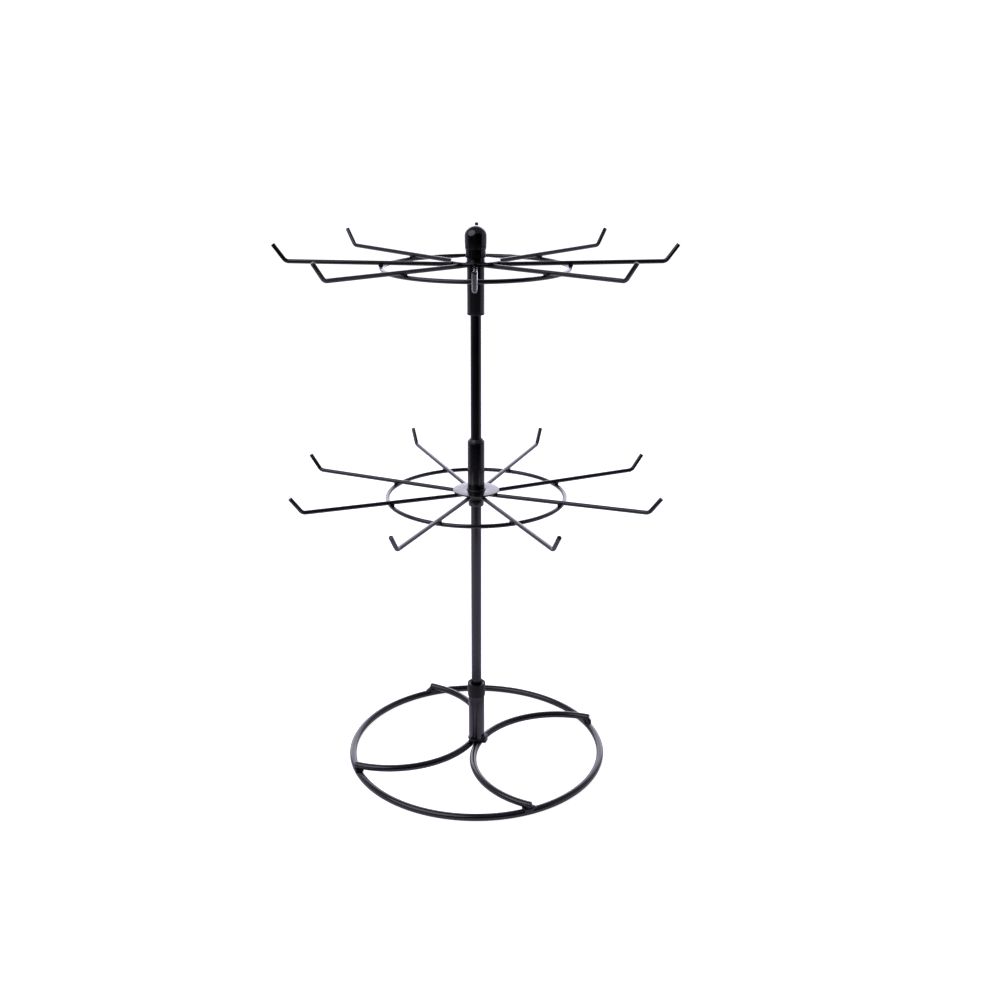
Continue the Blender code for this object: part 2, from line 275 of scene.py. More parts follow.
def newGroup(name, inputs, outputs):
    group = bpy.data.node_groups.new(name, "ShaderNodeTree")
    for label, value in inputs.items():
        inlet = group.interface.new_socket(label, in_out="INPUT", socket_type="NodeSocketFloat")
        inlet.default_value = value
    for label in outputs:
        group.interface.new_socket(label, in_out="OUTPUT", socket_type="NodeSocketFloat")
    return group, addNode(group, "NodeGroupInput"), addNode(group, "NodeGroupOutput")


def objectNoise(group, detail, scale=None, sizeSocket=None):
    # noise on object coordinates, its scale a fixed value or one over a socket's size
    place = addNode(group, "ShaderNodeTexCoord")
    noise = addNode(group, "ShaderNodeTexNoise", {"Detail": detail})
    group.links.new(place.outputs["Object"], noise.inputs["Vector"])
    if sizeSocket is None:
        noise.inputs["Scale"].default_value = scale
    else:
        inverse = addNode(group, "ShaderNodeMath", {0: 1.0}, operation="DIVIDE")
        group.links.new(sizeSocket, inverse.inputs[1])
        group.links.new(inverse.outputs[0], noise.inputs["Scale"])
    return noise


# how many spots of each kind fit in a metre
perMetre = {"nibs": 900.0, "specks": 1500.0, "drifts": 45.0, "edgeBreaks": 350.0}
# where each effect starts and is whole, as values of its noise or of what it reads
spans = {
    "nibs": (0.70, 0.80), "patches": (0.38, 0.66), "facingUp": (0.45, 1.0),
    "specks": (0.60, 0.72),
}
edgeSpan = 0.08                           # from where an edge starts to wear to fully worn


def spanNode(group, kind):
    start, whole = spans[kind]
    return addNode(group, "ShaderNodeMapRange", {"From Min": start, "From Max": whole})


def makePeelGroup():
    # orange peel of a sprayed coat, with a few nibs of dirt caught in it
    group, source, result = newGroup("lacquerPeel", {"peelSize": 1.6 * mm, "nibs": 0.5},
                                     ["height"])
    peel = objectNoise(group, 2.0, sizeSocket=source.outputs["peelSize"])
    grit = objectNoise(group, 0.0, perMetre["nibs"])
    nib = spanNode(group, "nibs")
    weigh = addNode(group, "ShaderNodeMath", operation="MULTIPLY")
    total = addNode(group, "ShaderNodeMath", operation="ADD")
    group.links.new(grit.outputs["Fac"], nib.inputs["Value"])
    group.links.new(nib.outputs["Result"], weigh.inputs[0])
    group.links.new(source.outputs["nibs"], weigh.inputs[1])
    group.links.new(peel.outputs["Fac"], total.inputs[0])
    group.links.new(weigh.outputs[0], total.inputs[1])
    group.links.new(total.outputs[0], result.inputs["height"])
    return group


def makeSmearGroup():
    # where hands and cloths have passed: broad soft patches that are duller
    group, source, result = newGroup("handledPatches", {"patchSize": 30 * mm, "strength": 0.06},
                                     ["dullness"])
    patches = objectNoise(group, 3.0, sizeSocket=source.outputs["patchSize"])
    ramp = spanNode(group, "patches")
    weigh = addNode(group, "ShaderNodeMath", operation="MULTIPLY")
    group.links.new(patches.outputs["Fac"], ramp.inputs["Value"])
    group.links.new(ramp.outputs["Result"], weigh.inputs[0])
    group.links.new(source.outputs["strength"], weigh.inputs[1])
    group.links.new(weigh.outputs[0], result.inputs["dullness"])
    return group


def makeDustGroup():
    # specks of dust that lie on what faces up
    group, source, result = newGroup("settledDust", {"amount": 0.5}, ["mask"])
    facing = addNode(group, "ShaderNodeNewGeometry")
    split = addNode(group, "ShaderNodeSeparateXYZ")
    upward = spanNode(group, "facingUp")
    specks = objectNoise(group, 1.0, perMetre["specks"])
    sparse = spanNode(group, "specks")
    drift = objectNoise(group, 2.0, perMetre["drifts"])
    first = addNode(group, "ShaderNodeMath", operation="MULTIPLY")
    second = addNode(group, "ShaderNodeMath", operation="MULTIPLY")
    third = addNode(group, "ShaderNodeMath", operation="MULTIPLY", use_clamp=True)
    group.links.new(facing.outputs["Normal"], split.inputs[0])
    group.links.new(split.outputs["Z"], upward.inputs["Value"])
    group.links.new(specks.outputs["Fac"], sparse.inputs["Value"])
    group.links.new(upward.outputs["Result"], first.inputs[0])
    group.links.new(sparse.outputs["Result"], first.inputs[1])
    group.links.new(first.outputs[0], second.inputs[0])
    group.links.new(drift.outputs["Fac"], second.inputs[1])
    group.links.new(second.outputs[0], third.inputs[0])
    group.links.new(source.outputs["amount"], third.inputs[1])
    group.links.new(third.outputs[0], result.inputs["mask"])
    return group


def makeEdgeGroup():
    # thin paint along sharp edges, broken up so that it isn't a drawn line
    group, source, result = newGroup("thinEdges", {"start": 0.53, "amount": 0.5}, ["mask"])
    shape = addNode(group, "ShaderNodeNewGeometry")
    finish = addNode(group, "ShaderNodeMath", {1: edgeSpan}, operation="ADD")
    ramp = addNode(group, "ShaderNodeMapRange")
    broken = objectNoise(group, 3.0, perMetre["edgeBreaks"])
    first = addNode(group, "ShaderNodeMath", operation="MULTIPLY")
    second = addNode(group, "ShaderNodeMath", operation="MULTIPLY", use_clamp=True)
    group.links.new(shape.outputs["Pointiness"], ramp.inputs["Value"])
    group.links.new(source.outputs["start"], ramp.inputs["From Min"])
    group.links.new(source.outputs["start"], finish.inputs[0])
    group.links.new(finish.outputs[0], ramp.inputs["From Max"])
    group.links.new(ramp.outputs["Result"], first.inputs[0])
    group.links.new(broken.outputs["Fac"], first.inputs[1])
    group.links.new(first.outputs[0], second.inputs[0])
    group.links.new(source.outputs["amount"], second.inputs[1])
    group.links.new(second.outputs[0], result.inputs["mask"])
    return group


peelGroup = makePeelGroup()
smearGroup = makeSmearGroup()
dustGroup = makeDustGroup()
edgeGroup = makeEdgeGroup()


def placeGroup(tree, group, values):
    node = addNode(tree, "ShaderNodeGroup", node_tree=group)
    for key, value in values.items():
        node.inputs[key].default_value = value
    return node


def blendColour(tree, mask, below, above):
    # each colour is three numbers or another node's output
    mix = addNode(tree, "ShaderNodeMix", data_type="RGBA")
    tree.links.new(mask, mix.inputs["Factor"])
    for place, colour in ((6, below), (7, above)):       # the node's two colour inputs
        if isinstance(colour, tuple):
            mix.inputs[place].default_value = (*colour, 1.0)
        else:
            tree.links.new(colour, mix.inputs[place])
    return mix.outputs[2]                 # its colour output


def makeCoat(name, look):
    # sprayed or moulded black: peel, dull patches, dust and thin edges over one base colour
    material = bpy.data.materials.new(name)
    material.use_nodes = True
    tree = material.node_tree
    shader = tree.nodes["Principled BSDF"]
    shader.inputs["Metallic"].default_value = look["metal"]
    shader.inputs["IOR"].default_value = look["ior"]
    peel = placeGroup(tree, peelGroup, {"peelSize": look["peelSize"], "nibs": look["nibs"]})
    smear = placeGroup(tree, smearGroup,
                       {"patchSize": look["patchSize"], "strength": look["patchDullness"]})
    dust = placeGroup(tree, dustGroup, {"amount": look["dust"]})
    edge = placeGroup(tree, edgeGroup, {"start": look["edgeStart"], "amount": look["edgeWear"]})
    worn = blendColour(tree, edge.outputs["mask"], look["colour"], look["edgeColour"])
    dusty = blendColour(tree, dust.outputs["mask"], worn, look["dustColour"])
    tree.links.new(dusty, shader.inputs["Base Color"])
    dull = addNode(tree, "ShaderNodeMath", {1: look["roughness"]}, operation="ADD")
    chalky = addNode(tree, "ShaderNodeMath", {1: look["dustDullness"]},
                     operation="MULTIPLY_ADD", use_clamp=True)
    tree.links.new(smear.outputs["dullness"], dull.inputs[0])
    tree.links.new(dust.outputs["mask"], chalky.inputs[0])
    tree.links.new(dull.outputs[0], chalky.inputs[2])
    tree.links.new(chalky.outputs[0], shader.inputs["Roughness"])
    bump = addNode(tree, "ShaderNodeBump", {"Strength": 1.0, "Distance": look["peelDepth"]})
    tree.links.new(peel.outputs["height"], bump.inputs["Height"])
    tree.links.new(bump.outputs["Normal"], shader.inputs["Normal"])
    return material


enamel = {
    "colour": (0.0018, 0.0016, 0.0022), "metal": 0.0, "ior": 1.5, "roughness": 0.17,
    "peelSize": 1.5 * mm, "peelDepth": 0.012 * mm, "nibs": 0.5,
    "patchSize": 30 * mm, "patchDullness": 0.07,
    "dust": 0.35, "dustColour": (0.09, 0.088, 0.09), "dustDullness": 0.5,
    "edgeStart": 0.54, "edgeWear": 0.35, "edgeColour": (0.03, 0.029, 0.032),
}
rodEnamel = {**enamel, "peelSize": 1.9 * mm, "patchSize": 45 * mm, "dust": 0.5}
wireEnamel = {**enamel, "peelSize": 1.1 * mm, "peelDepth": 0.009 * mm, "roughness": 0.18}
weldEnamel = {**enamel, "peelSize": 0.9 * mm, "peelDepth": 0.05 * mm, "roughness": 0.36,
              "ior": 1.42, "nibs": 1.0, "edgeWear": 0.1}
mouldedGloss = {**enamel, "colour": (0.0012, 0.0011, 0.0015), "roughness": 0.13,
                "peelSize": 4.0 * mm, "peelDepth": 0.01 * mm, "nibs": 0.1,
                "patchDullness": 0.05, "dust": 0.25, "edgeWear": 0.0}
capLook = {**mouldedGloss, "ior": 1.3, "roughness": 0.42, "dust": 0.1}
nylonLook = {**enamel, "colour": (0.004, 0.0037, 0.0046), "roughness": 0.3,
             "peelSize": 0.35 * mm, "peelDepth": 0.006 * mm, "nibs": 0.2,
             "patchDullness": 0.1, "edgeColour": (0.02, 0.02, 0.021)}
screwSteel = {**enamel, "colour": (0.16, 0.155, 0.15), "metal": 1.0, "roughness": 0.30,
              "peelSize": 0.25 * mm, "peelDepth": 0.004 * mm,
              "patchSize": 2 * mm, "patchDullness": 0.15, "edgeColour": (0.45, 0.44, 0.43)}

rodCoat = makeCoat("rodCoat", rodEnamel)
wireCoat = makeCoat("wireCoat", wireEnamel)
tubeCoat = makeCoat("tubeCoat", enamel)
weldCoat = makeCoat("weldCoat", weldEnamel)
mouldedBlack = makeCoat("mouldedBlack", mouldedGloss)
mouldedCap = makeCoat("mouldedCap", capLook)
bushNylon = makeCoat("bushNylon", nylonLook)
blackenedSteel = makeCoat("blackenedSteel", screwSteel)
print("finishes made")


# base: a ring on the table and two half circles of the same rod across it

baseRing = {
    "radius": 128 * mm, "rod": 7 * mm, "around": 168, "sides": 28,
    "seam": math.radians(104), "upset": 0.22 * mm,
}
bow = {
    "overhang": 2 * mm,                   # of the ends, past the middle of the ring's rod
    "turn": math.radians(-22.5), "steps": 72, "sides": 28, "cutEase": 0.45 * mm,
}
bowWeld = {"length": 8.6 * mm, "width": 9.4 * mm, "height": 3.6 * mm, "sink": 0.2 * mm}
bowTail = {                               # weld that runs down from a bow's end onto the ring
    "length": 11.5 * mm, "width": 6.6 * mm, "bottom": 5.0 * mm, "top": 14.0 * mm,
    "fall": 6.6 * mm, "start": 2.2 * mm,  # how far back it starts, inside the bow's end
}


def buildBow(name, facing):
    rod = baseRing["rod"]
    back = rod / 2 + weldGap / 2
    reach = baseRing["radius"] + bow["overhang"]
    radius = (math.sqrt(2 * reach ** 2 - back ** 2) - back) / 2
    low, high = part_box("base_bow_right")
    opening = wayOut(facing)
    centre = opening * (back + radius) + Vector((0, 0, (low.z + high.z) / 2))
    start = centre + Vector((opening.y, -opening.x, 0)) * radius
    bpy.ops.mesh.primitive_circle_add(
        vertices=bow["sides"], radius=rod / 2, fill_type="NGON", location=start,
        rotation=(math.pi / 2, 0, facing + math.pi / 2))
    piece = bpy.context.object
    piece.name = name
    settle(piece)
    openMesh(piece)
    bpy.ops.mesh.spin(steps=bow["steps"], angle=math.pi, center=centre, axis=(0, 0, 1))
    sealMesh()
    openMesh(piece)
    pick("EDGE", lambda spot: abs((spot - centre).dot(opening)) < tiny)
    bpy.ops.mesh.bevel(offset=bow["cutEase"], segments=3)
    sealMesh()
    return piece


def buildBase():
    rod = baseRing["rod"]
    low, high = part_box("base_ring")
    ring = wireRing("baseRingRod", baseRing["radius"], rod, (low.z + high.z) / 2,
                    baseRing["around"], baseRing["sides"], baseRing["seam"], baseRing["upset"])
    openMesh(ring)                        # the thicker joint stays flat on the table
    pick("VERT", lambda spot: spot.z < low.z)
    bpy.ops.transform.resize(value=(1, 1, 0), center_override=(0, 0, low.z))
    sealMesh()
    handOver(ring, "stand", "coated_rod", rodCoat, "base_ring")
    for side, facing in (("right", bow["turn"]), ("left", bow["turn"] + math.pi)):
        rodPiece = buildBow(side + "BowRod", facing)
        handOver(rodPiece, "stand", "coated_rod", rodCoat, "base_bow_" + side)
    # one weld under each end of a bow, where it crosses the ring
    for number in range(4):
        angle = bow["turn"] + math.pi / 4 + number * math.pi / 2
        place = wayOut(angle) * baseRing["radius"]
        place.z = high.z - bowWeld["sink"]
        size = (bowWeld["length"], bowWeld["width"], bowWeld["height"])
        bead = weldLump("bowEndWeld{}".format(number + 1), place, size, angle)
        handOver(bead, "stand", "coated_rod", weldCoat)
        along = angle + math.pi / 2 * (-1 if number % 2 == 0 else 1)
        middle = bowTail["length"] / 2 - bowTail["start"]
        place += wayOut(along) * middle
        place.z = (bowTail["bottom"] + bowTail["top"]) / 2
        size = (bowTail["length"], bowTail["width"], bowTail["top"] - bowTail["bottom"])
        tail = weldLump("bowEndTail{}".format(number + 1), place, size, along, bowTail["fall"])
        handOver(tail, "stand", "coated_rod", weldCoat)


buildBase()
print("base made")


# socket tube with its mouth cap

socket = {
    "rim": 0.5 * mm, "weldSize": 0.7 * mm, "weldBeads": 15, "weldRipple": 0.22 * mm,
    "weldOut": 0.2 * mm, "weldUp": 0.3 * mm,           # from the foot of the tube's outside
    "lumpOut": 0.1,                       # how far a lump stands out, as a share of its length
}
# each an angle in degrees from the right bow's opening, and a length, width and height
footLumps = (
    (4.0, 5.4 * mm, 8.4 * mm, 7.6 * mm),
    (95.0, 4.0 * mm, 7.0 * mm, 4.0 * mm),
    (262.0, 4.0 * mm, 7.0 * mm, 4.2 * mm),
)
mouthCap = {
    "lip": 0.4 * mm,                      # rounding of the outer edges
    "lipRings": 5,
    "taper": 5.0 * mm, "taperStart": 0.7, "taperEnd": 1.15,    # eased, as shares of the taper
    "funnel": 2.0 * mm, "funnelDepth": 1.4 * mm, "funnelEase": 0.6,
}


def buildSocket():
    low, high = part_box("socket_tube")
    tube = turnedWall("socketTube", socketBore, high.x, low.z, high.z, socket["rim"])
    handOver(tube, "stand", "coated_tube", tubeCoat, "socket_tube")
    weld = weldRing("socketFootWeld", high.x + socket["weldOut"], low.z + socket["weldUp"],
                    socket["weldSize"], socket["weldBeads"], socket["weldRipple"])
    handOver(weld, "stand", "coated_tube", weldCoat)
    for number, (degrees, length, width, height) in enumerate(footLumps):
        angle = bow["turn"] + math.radians(degrees)
        place = wayOut(angle) * (high.x + length * socket["lumpOut"])
        place.z = low.z
        size = (length, width, height)
        bead = weldLump("socketFootLump{}".format(number + 1), place, size, angle)
        handOver(bead, "stand", "coated_tube", weldCoat)


def buildMouthCap():
    low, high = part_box("socket_mouth_cap")
    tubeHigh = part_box("socket_tube")[1]
    bore = tubeHigh.x + weldGap
    lip = mouthCap["lip"]
    taper = mouthCap["taper"]
    seat = tubeHigh.z + weldGap
    mouth = socketBore + mouthCap["funnel"]
    stations = [(bore, seat), (bore, low.z), ((bore + high.x) / 2, low.z)]
    stations += [(high.x - lip / 2, low.z + taper * mouthCap["taperStart"])]
    stations += [(high.x, low.z + taper * mouthCap["taperEnd"])]
    stations += arcStations(high.x - lip, high.z - lip, lip, lip, 0, 90, mouthCap["lipRings"])
    stations += [(mouth, high.z), (mouth - lip, high.z - lip * mouthCap["funnelEase"])]
    stations += [(socketBore, high.z - mouthCap["funnelDepth"]), (socketBore, seat), (bore, seat)]
    cap = grownLoops("mouthCap", stations)
    sealMesh()
    handOver(cap, "stand", "moulded_black", mouldedCap, "socket_mouth_cap")


buildSocket()
buildMouthCap()
print("socket made")


# pole, and the collar on it that the lower tier turns on

pole = {"wall": 1.0 * mm, "rim": 0.25 * mm}
collar = {"chamfer": 0.7 * mm, "hole": 4.0 * mm, "sides": 32}
grubScrew = {
    "diameter": 3.4 * mm, "sides": 32, "ease": 0.3 * mm,
    "hexagon": 1.9 * mm, "hexagonDepth": 1.2 * mm,
}


def buildPole():
    low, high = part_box("pole")
    tube = turnedWall("poleTube", high.x - pole["wall"], high.x, low.z, high.z, pole["rim"])
    handOver(tube, "stand", "coated_tube", tubeCoat, "pole")


def buildCollar():
    low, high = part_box("stop_collar")
    piece = turnedWall("stopCollar", poleRadius + weldGap, high.x, low.z, high.z,
                       collar["chamfer"])
    middle = (low.z + high.z) / 2
    bpy.ops.mesh.primitive_cylinder_add(
        vertices=collar["sides"], radius=collar["hole"] / 2, depth=high.x,
        location=(0, high.x, middle), rotation=(math.pi / 2, 0, 0))
    cutAway(piece, bpy.context.object)
    handOver(piece, "stand", "coated_tube", tubeCoat, "stop_collar")


def buildGrubScrew():
    low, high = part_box("stop_screw")
    middle = (low.z + high.z) / 2
    bpy.ops.mesh.primitive_circle_add(
        vertices=grubScrew["sides"], radius=grubScrew["diameter"] / 2, fill_type="NGON",
        location=(0, low.y, middle), rotation=(-math.pi / 2, 0, 0))
    piece = bpy.context.object
    piece.name = "grubScrew"
    settle(piece)
    openMesh(piece)
    stretch((0, high.y - low.y, 0))
    pick("EDGE", lambda spot: spot.y > high.y - tiny)
    bpy.ops.mesh.bevel(offset=grubScrew["ease"], segments=2)
    sealMesh()
    bpy.ops.mesh.primitive_cylinder_add(
        vertices=6, radius=grubScrew["hexagon"] / math.sqrt(3),
        depth=grubScrew["hexagonDepth"] * 2, location=(0, high.y, middle),
        rotation=(math.pi / 2, 0, 0))
    cutAway(piece, bpy.context.object)
    handOver(piece, "stand", "steel_screw", blackenedSteel, "stop_screw")


buildPole()
buildCollar()
buildGrubScrew()
print("pole made")


# tiers: a sleeve with its disc and bushes, eight hooked arms and a ring of wire

sleeve = {
    "wall": 1.2 * mm, "rim": 0.4 * mm,
    "weldSize": 1.1 * mm, "weldBeads": 18, "weldRipple": 0.12 * mm, "weldOut": 0.1 * mm,
}
disc = {"rim": 0.55 * mm}
bush = {"ease": 0.2 * mm, "chamfer": 0.35 * mm, "flange": 1.2 * mm}
slopedBush = {"flange": 3.0 * mm, "slope": 2.2 * mm, "lip": 0.45 * mm}    # on the lower sleeve
tierRing = {
    "radius": 85 * mm, "wire": 4 * mm, "around": 128, "sides": 20,
    "seam": math.radians(67), "upset": 0.14 * mm,
}
arm = {
    "wire": 4 * mm, "sides": 24, "rise": 2.6 * mm,     # rise of the hook's corner
    "hookOut": 11 * mm, "hookUp": 15 * mm,             # from the corner to the tip
    "bendRadius": 6 * mm, "bendSteps": 12, "cutEase": 0.3 * mm, "count": 8,
}
armTurn = {"lower": math.radians(22.5), "upper": 0.0}  # of the first arm
crossWeld = {"length": 4.4 * mm, "width": 3.6 * mm, "height": 2.3 * mm}
rootWeld = {"length": 2.6 * mm, "width": 4.6 * mm, "height": 3.2 * mm}


def buildArm():
    # along +X with its wire at zero height, for every arm to be copied from
    radius = arm["wire"] / 2
    low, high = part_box("upper_arm_1")
    hook = Vector((arm["hookOut"], 0, arm["hookUp"])).normalized()
    tip = Vector((high.x - radius * hook.z, 0, 0))
    corner = Vector((tip.x - arm["hookOut"], 0, arm["rise"]))
    tip.z = corner.z + arm["hookUp"]
    rim = Vector((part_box("upper_hub_disc")[1].x, 0, 0))
    run = (corner - rim).normalized()
    turn = run.angle(hook)
    reach = arm["bendRadius"] * math.tan(turn / 2)
    bendStart = corner - run * reach
    bendCentre = bendStart + Vector((-run.z, 0, run.x)) * arm["bendRadius"]
    start = Vector((low.x, 0, 0))
    bpy.ops.mesh.primitive_circle_add(
        vertices=arm["sides"], radius=radius, fill_type="NGON", location=start,
        rotation=(0, math.pi / 2, 0))
    piece = bpy.context.object
    piece.name = "armPattern"
    settle(piece)
    openMesh(piece)
    stretch(rim - start)
    stretch(bendStart - rim)
    bpy.ops.mesh.spin(steps=arm["bendSteps"], angle=turn, center=bendCentre, axis=(0, 1, 0))
    stretch(tip - corner - hook * reach)
    sealMesh()
    openMesh(piece)
    pick("EDGE", lambda spot: (spot - tip).length < radius + tiny)
    bpy.ops.mesh.bevel(offset=arm["cutEase"], segments=3)
    sealMesh()
    return piece


def buildBush(name, node, seatUp, stem, flange, slope, face):
    # flanged, its stem inside the sleeve; seatUp is 1 where the sleeve stands above the flange
    low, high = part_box(node)
    ease = bush["ease"]
    outside, tip = (low.z, high.z) if seatUp > 0 else (high.z, low.z)
    seat = outside + seatUp * flange
    stations = [(bushBore, tip), (bushBore, outside + seatUp * ease), (bushBore + ease, outside)]
    stations += [(face, outside), (high.x, outside + seatUp * slope), (high.x, seat)]
    stations += [(stem, seat), (stem, tip - seatUp * ease), (stem - ease, tip), (bushBore, tip)]
    piece = grownLoops(name, stations)
    sealMesh()
    return piece


def buildTier(tier, armPattern):
    body = tier + "_tier"
    low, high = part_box(tier + "_sleeve")
    tube = turnedWall(tier + "SleeveTube", high.x - sleeve["wall"], high.x, low.z, high.z,
                      sleeve["rim"])
    handOver(tube, body, "coated_tube", tubeCoat, tier + "_sleeve")

    discLow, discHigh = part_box(tier + "_hub_disc")
    plate = turnedWall(tier + "HubDisc", high.x + weldGap / 2, discHigh.x, discLow.z, discHigh.z,
                       disc["rim"])
    handOver(plate, body, "coated_tube", tubeCoat, tier + "_hub_disc")
    if tier == "lower":                   # the knob covers it on the upper tier
        fillet = weldRing("lowerDiscWeld", high.x + sleeve["weldOut"], discHigh.z,
                          sleeve["weldSize"], sleeve["weldBeads"], sleeve["weldRipple"])
        handOver(fillet, body, "coated_tube", weldCoat)

    ringLow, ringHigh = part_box(tier + "_ring")
    ringMiddle = (ringLow.z + ringHigh.z) / 2
    ring = wireRing(tier + "RingWire", tierRing["radius"], tierRing["wire"], ringMiddle,
                    tierRing["around"], tierRing["sides"], tierRing["seam"], tierRing["upset"])
    handOver(ring, body, "coated_wire", wireCoat, tier + "_ring")

    wireMiddle = discLow.z - weldGap - arm["wire"] / 2
    crossing = (tierRing["radius"], 0, ringHigh.z + weldGap / 2)
    crossSize = (crossWeld["length"], crossWeld["width"], crossWeld["height"])
    crossPattern = weldLump("crossWeldPattern", crossing, crossSize)
    root = (high.x + rootWeld["length"] / 2, 0, wireMiddle)
    rootSize = (rootWeld["length"], rootWeld["width"], rootWeld["height"])
    rootPattern = weldLump("rootWeldPattern", root, rootSize)
    for number in range(arm["count"]):
        angle = armTurn[tier] + math.tau * number / arm["count"]
        mark = str(number + 1)
        wire = copyTurned(armPattern, tier + "Arm" + mark, angle, wireMiddle)
        handOver(wire, body, "coated_wire", wireCoat, tier + "_arm_" + mark)
        for pattern, label in ((crossPattern, "CrossWeld"), (rootPattern, "RootWeld")):
            bead = copyTurned(pattern, tier + label + mark, angle)
            handOver(bead, body, "coated_wire", weldCoat)
    remove(crossPattern)
    remove(rootPattern)


armPattern = buildArm()
for tierName in ("lower", "upper"):
    buildTier(tierName, armPattern)
    print(tierName, "tier made")
remove(armPattern)
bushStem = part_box("upper_sleeve")[1].x - sleeve["wall"] - weldGap
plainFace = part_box("lower_sleeve")[1].x - bush["chamfer"]
topBush = buildBush("lowerTopBush", "lower_bush_top", -1, bushStem, slopedBush["flange"],
                    slopedBush["slope"], bushBore + slopedBush["lip"])
handOver(topBush, "lower_tier", "nylon", bushNylon, "lower_bush_top")
for tierName in ("lower", "upper"):
    endBush = buildBush(tierName + "BottomBush", tierName + "_bush_bottom", 1, bushStem,
                        bush["flange"], bush["chamfer"], plainFace)
    handOver(endBush, tierName + "_tier", "nylon", bushNylon, tierName + "_bush_bottom")
for hiddenNode in ("pole_top_plug", "upper_pivot_cup"):      # inside the upper sleeve
    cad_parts[hiddenNode].data.materials.clear()
    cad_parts[hiddenNode].data.materials.append(bushNylon)
print("bushes made")


# knob over the top of the upper sleeve

knob = {
    "skirtWall": 0.9 * mm, "skirtLength": 7.0 * mm, "skirtEase": 0.25 * mm,
    "tuck": 8.0 * mm, "tuckRings": 10,    # where the head narrows to the skirt
    "domeRise": 8.8 * mm, "domeRings": 18, "domeEnd": 89,      # degrees, closed by a face
    "seatHole": 0.12 * mm,                # closed by a face too
}


def buildKnob():
    low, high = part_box("finial_knob")
    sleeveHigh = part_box("upper_sleeve")[1]
    bore = sleeveHigh.x + weldGap
    skirt = bore + knob["skirtWall"]
    ease = knob["skirtEase"]
    seat = sleeveHigh.z + weldGap
    neck = low.z + knob["skirtLength"] + knob["tuck"]
    crown = high.z - knob["domeRise"]
    hole = knob["seatHole"]
    stations = [(hole, seat), (bore, seat), (bore, low.z), (skirt - ease, low.z)]
    stations += [(skirt, low.z + ease)]
    stations += arcStations(skirt, neck, high.x - skirt, knob["tuck"], -90, 0, knob["tuckRings"])
    stations += arcStations(0, crown, high.x, knob["domeRise"], 0, knob["domeEnd"],
                            knob["domeRings"])
    piece = grownLoops("finialKnob", stations)
    bpy.ops.mesh.edge_face_add()          # closes the crown
    pick("EDGE", lambda spot: spot.z < seat + tiny and math.hypot(spot.x, spot.y) < hole + tiny)
    bpy.ops.mesh.edge_face_add()          # closes the seat on the sleeve's end
    sealMesh()
    handOver(piece, "upper_tier", "moulded_black", mouldedBlack, "finial_knob")


buildKnob()
print("knob made")


# floor, light and camera

studio = {
    "floorFront": 0.60, "floorBack": 3.0, "floorHalfWidth": 0.75,
    "floorColour": (0.81, 0.77, 0.86), "floorRoughness": 0.9,
    "floorGlow": 0.35, "floorLift": 0.55,
    "backdrop": 3.3, "rightWall": 0.6, "leftWall": 0.65, "overhead": 0.28, "front": 0.1,
    "tint": (0.90, 0.83, 1.0), "backTint": (0.86, 0.85, 1.0),
    "seen": 1.2,                          # seen directly, all is plain white
}
ramps = {                                 # where the room's light changes, as parts of a direction
    "right": (-0.50, -0.30), "left": (-0.45, 0.20), "leftToRight": (-0.1, 0.1),
    "low": (-0.16, -0.24), "toBackdrop": (0.70, 0.82), "toOverhead": (0.50, 0.72),
}
leftFront = 0.03                          # strength of the left wall at its front end
plainWhite = (1.0, 1.0, 1.0)
softBox = {"place": (-1.0, -0.75, 1.5), "aim": (0, 0, 0.5), "size": 2.1, "power": 25.0}
view = {
    "place": (0.00565, -1.0615, 0.6402), "tilt": math.radians(69.59),
    "lens": 41.97, "sensor": 36, "shiftX": 0.018, "shiftY": 0.0292, "clipStart": 10 * mm,
}


def makeFloor():
    depth = studio["floorFront"] + studio["floorBack"]
    bpy.ops.mesh.primitive_plane_add(
        size=1, location=(0, (studio["floorBack"] - studio["floorFront"]) / 2, 0))
    floor = bpy.context.object
    floor.name = "floorSheet"
    floor.scale = (studio["floorHalfWidth"] * 2, depth, 1)
    settle(floor)
    material = bpy.data.materials.new("paleSheet")
    material.use_nodes = True
    tree = material.node_tree
    shader = tree.nodes["Principled BSDF"]
    shader.inputs["Base Color"].default_value = (*studio["floorColour"], 1.0)
    shader.inputs["Roughness"].default_value = studio["floorRoughness"]
    shader.inputs["Specular IOR Level"].default_value = 0.0
    eye = addNode(tree, "ShaderNodeLightPath").outputs["Is Camera Ray"]
    glow = addNode(tree, "ShaderNodeMath", {1: studio["floorLift"], 2: studio["floorGlow"]},
                   operation="MULTIPLY_ADD")
    tree.links.new(eye, glow.inputs[0])
    tint = blendColour(tree, eye, studio["tint"], plainWhite)
    tree.links.new(tint, shader.inputs["Emission Color"])
    tree.links.new(glow.outputs[0], shader.inputs["Emission Strength"])
    floor.data.materials.append(material)


def easedStep(tree, source, ramp, low=0.0, high=1.0):
    start, end = ramp
    node = addNode(tree, "ShaderNodeMapRange",
                   {"From Min": start, "From Max": end, "To Min": low, "To Max": high},
                   interpolation_type="SMOOTHSTEP")
    tree.links.new(source, node.inputs["Value"])
    return node.outputs["Result"]


def blendValue(tree, mask, below, above):
    mix = addNode(tree, "ShaderNodeMix", data_type="FLOAT")
    tree.links.new(mask, mix.inputs["Factor"])
    for label, value in (("A", below), ("B", above)):
        if isinstance(value, float):
            mix.inputs[label].default_value = value
        else:
            tree.links.new(value, mix.inputs[label])
    return mix.outputs["Result"]


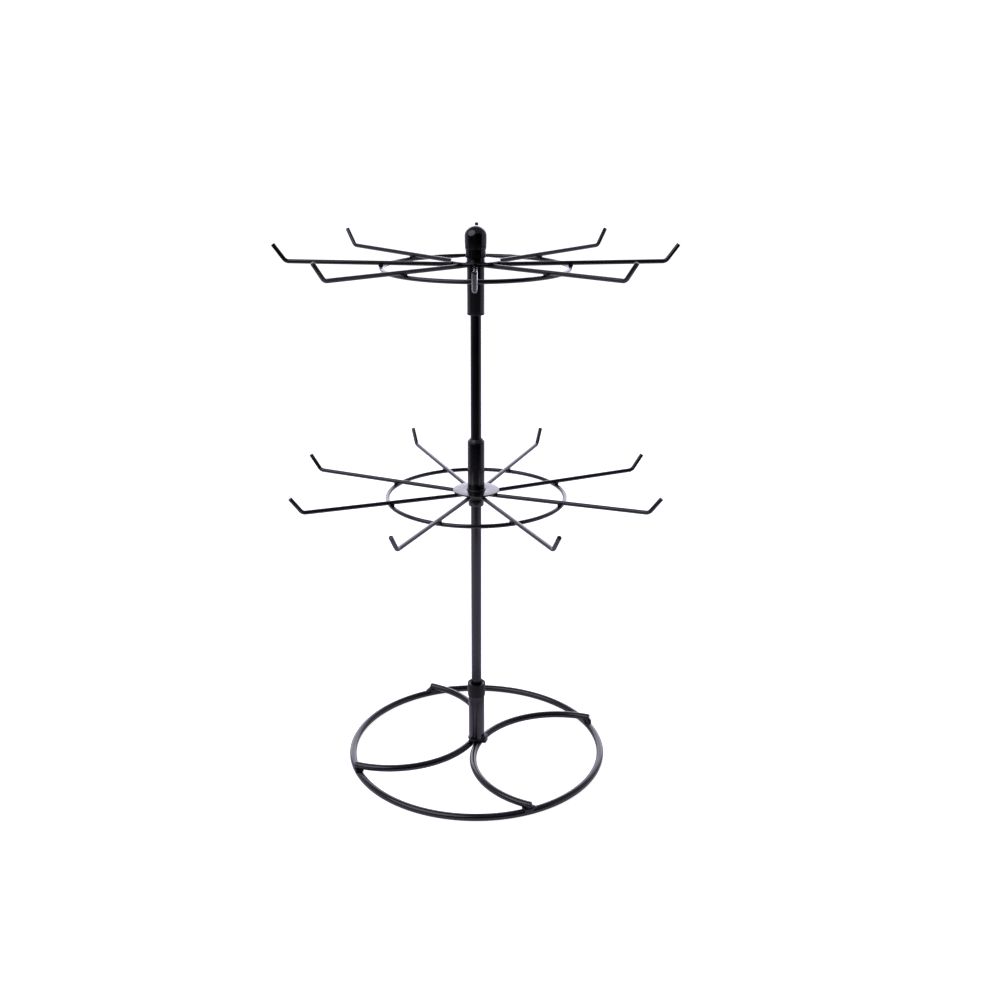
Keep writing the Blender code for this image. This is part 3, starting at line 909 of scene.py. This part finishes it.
def makeSurroundings():
    # bright low down behind the stand, dimmer at its sides and above, and nearly dark in front
    # but for a faint light from below
    world = bpy.data.worlds.new("studioRoom")
    bpy.context.scene.world = world
    world.use_nodes = True
    tree = world.node_tree
    background = tree.nodes["Background"]
    way = addNode(tree, "ShaderNodeTexCoord")
    level = addNode(tree, "ShaderNodeVectorMath", {1: (1, 1, 0)}, operation="MULTIPLY")
    compass = addNode(tree, "ShaderNodeVectorMath", operation="NORMALIZE")
    flat = addNode(tree, "ShaderNodeSeparateXYZ")
    upright = addNode(tree, "ShaderNodeSeparateXYZ")
    tree.links.new(way.outputs["Generated"], level.inputs[0])
    tree.links.new(level.outputs[0], compass.inputs[0])
    tree.links.new(compass.outputs[0], flat.inputs[0])
    tree.links.new(way.outputs["Generated"], upright.inputs[0])
    across, back, up = flat.outputs["X"], flat.outputs["Y"], upright.outputs["Z"]
    right = easedStep(tree, back, ramps["right"], 0.0, studio["rightWall"])
    left = easedStep(tree, back, ramps["left"], leftFront, studio["leftWall"])
    low = easedStep(tree, up, ramps["low"], 0.0, studio["front"])
    sides = addNode(tree, "ShaderNodeMath", operation="ADD")
    tree.links.new(blendValue(tree, easedStep(tree, across, ramps["leftToRight"]), left, right),
                   sides.inputs[0])
    tree.links.new(low, sides.inputs[1])
    backdrop = easedStep(tree, back, ramps["toBackdrop"])
    walls = blendValue(tree, backdrop, sides.outputs[0], studio["backdrop"])
    room = blendValue(tree, easedStep(tree, up, ramps["toOverhead"]), walls, studio["overhead"])
    eye = addNode(tree, "ShaderNodeLightPath").outputs["Is Camera Ray"]
    tree.links.new(blendValue(tree, eye, room, studio["seen"]), background.inputs["Strength"])
    roomTint = blendColour(tree, backdrop, studio["tint"], studio["backTint"])
    tint = blendColour(tree, eye, roomTint, plainWhite)
    tree.links.new(tint, background.inputs["Color"])


def makeSoftLight(name, light):
    bpy.ops.object.light_add(type="AREA", location=light["place"])
    lamp = bpy.context.object
    lamp.name = name
    lamp.data.shape = "DISK"
    lamp.data.size = light["size"]
    lamp.data.energy = light["power"]
    lamp.data.color = studio["backTint"]
    lamp.visible_camera = False
    aim = Vector(light["aim"]) - Vector(light["place"])
    lamp.rotation_euler = aim.to_track_quat("-Z", "Y").to_euler()


def makeCamera():
    bpy.ops.object.camera_add(location=view["place"], rotation=(view["tilt"], 0, 0))
    camera = bpy.context.object
    camera.name = "studioCamera"
    camera.data.lens = view["lens"]
    camera.data.sensor_width = view["sensor"]
    camera.data.shift_x = view["shiftX"]
    camera.data.shift_y = view["shiftY"]
    camera.data.clip_start = view["clipStart"]
    bpy.context.scene.camera = camera


makeFloor()
makeSurroundings()
makeSoftLight("softBox", softBox)
makeCamera()
bpy.context.scene.view_settings.view_transform = "Standard"
print("studio made")
